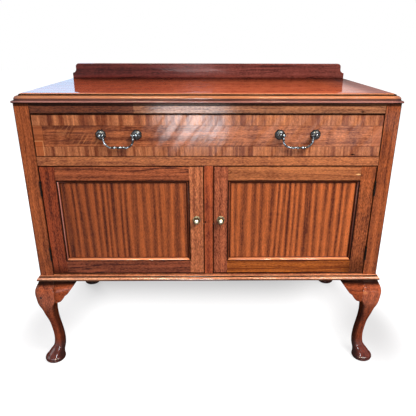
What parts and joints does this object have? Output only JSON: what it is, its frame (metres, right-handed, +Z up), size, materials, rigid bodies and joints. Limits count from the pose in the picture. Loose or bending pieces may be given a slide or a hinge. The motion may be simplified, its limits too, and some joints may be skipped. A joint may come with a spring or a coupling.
{
  "type": "sideboard",
  "caption": "Mahogany sideboard on cabriole legs: a long drawer with drop handles above a pair of panelled doors, a moulded top and a low back gallery.",
  "frame": {"origin": "on the floor, under the middle of the cabinet", "axes": "+X to the cabinet's right seen from in front, +Y to its back, +Z up; the drawer and the doors open towards -Y"},
  "size_m": [1.115, 0.575, 0.9335],
  "materials": {
    "mahogany_frame": "french polish",
    "mahogany_panel": "french polish",
    "mahogany_top": "french polish, high gloss",
    "mahogany_dark": "french polish",
    "drawer_veneer": "french polish",
    "secondary_wood": "unpolished",
    "plywood": "unpolished",
    "bronze": "dark patinated, polished",
    "brass": "polished",
    "old_brass": "dull",
    "steel": "bright"
  },
  "bodies": {
    "carcase": {"front_post_left": "mahogany_frame", "front_post_right": "mahogany_frame", "rear_posts": "mahogany_frame", "top_rail": "mahogany_frame", "middle_rail": "mahogany_frame", "bottom_rail": "mahogany_frame", "centre_muntin": "mahogany_frame", "side_rails": "mahogany_frame", "side_panel_left": "mahogany_panel", "side_panel_right": "mahogany_panel", "back_rails": "secondary_wood", "back_panel": "plywood", "bottom_board": "secondary_wood", "dust_board": "plywood", "drawer_runners": "secondary_wood", "drawer_kickers": "secondary_wood", "drawer_stops": "secondary_wood", "shelf": "secondary_wood", "shelf_bearers": "secondary_wood", "top_screws": "steel", "top_board": "mahogany_top", "gallery_board": "mahogany_dark", "gallery_dowels": "secondary_wood", "base_mouldings": "mahogany_frame", "rear_leg_right": "mahogany_frame", "rear_leg_left": "mahogany_frame", "front_leg_right": "mahogany_frame", "front_leg_left": "mahogany_frame", "front_knee_brackets": "mahogany_frame", "side_knee_brackets": "mahogany_frame", "hinge_frame_leaves": "old_brass", "hinge_pins": "old_brass", "catch_strikes": "brass"},
    "drawer": {"drawer_front": "drawer_veneer", "drawer_sides": "secondary_wood", "drawer_back": "secondary_wood", "drawer_bottom": "plywood", "handle_rosettes": "bronze", "handle_posts": "bronze", "handle_nuts": "old_brass"},
    "bail_left": {"bail_left": "bronze"},
    "bail_right": {"bail_right": "bronze"},
    "door_left": {"door_left_hinge_stile": "mahogany_frame", "door_left_closing_stile": "mahogany_frame", "door_left_rails": "mahogany_frame", "door_left_panel": "mahogany_panel", "door_left_mouldings": "mahogany_dark", "door_left_hinge_leaves": "old_brass", "door_left_knob": "brass", "door_left_catch_barrel": "brass"},
    "door_right": {"door_right_hinge_stile": "mahogany_frame", "door_right_closing_stile": "mahogany_frame", "door_right_rails": "mahogany_frame", "door_right_panel": "mahogany_panel", "door_right_mouldings": "mahogany_dark", "door_right_hinge_leaves": "old_brass", "door_right_knob": "brass", "door_right_catch_barrel": "brass"},
    "catch_ball_left": {"door_left_catch_ball": "steel"},
    "catch_ball_right": {"door_right_catch_ball": "steel"}
  },
  "joints": [
    {"name": "drawer_slide", "type": "slide", "parent": "carcase", "child": "drawer", "axis": [0, -1, 0], "range_m": [0, 0.4]},
    {"name": "bail_left_swing", "type": "hinge", "parent": "drawer", "child": "bail_left", "pos_m": [-0.25, -0.2725, 0.77], "axis": [-1, 0, 0], "range_deg": [-14, 165]},
    {"name": "bail_right_swing", "type": "hinge", "parent": "drawer", "child": "bail_right", "pos_m": [0.25, -0.2725, 0.77], "axis": [-1, 0, 0], "range_deg": [-14, 165]},
    {"name": "door_left_hinge", "type": "hinge", "parent": "carcase", "child": "door_left", "pos_m": [-0.487, -0.262, 0.505], "axis": [0, 0, -1], "range_deg": [0, 165]},
    {"name": "door_right_hinge", "type": "hinge", "parent": "carcase", "child": "door_right", "pos_m": [0.487, -0.262, 0.505], "axis": [0, 0, 1], "range_deg": [0, 165]},
    {"name": "catch_left_press", "type": "slide", "parent": "door_left", "child": "catch_ball_left", "axis": [-1, 0, 0], "range_m": [0, 0.0018], "stiffness_N_per_m": 400},
    {"name": "catch_right_press", "type": "slide", "parent": "door_right", "child": "catch_ball_right", "axis": [1, 0, 0], "range_m": [0, 0.0018], "stiffness_N_per_m": 400}
  ]
}
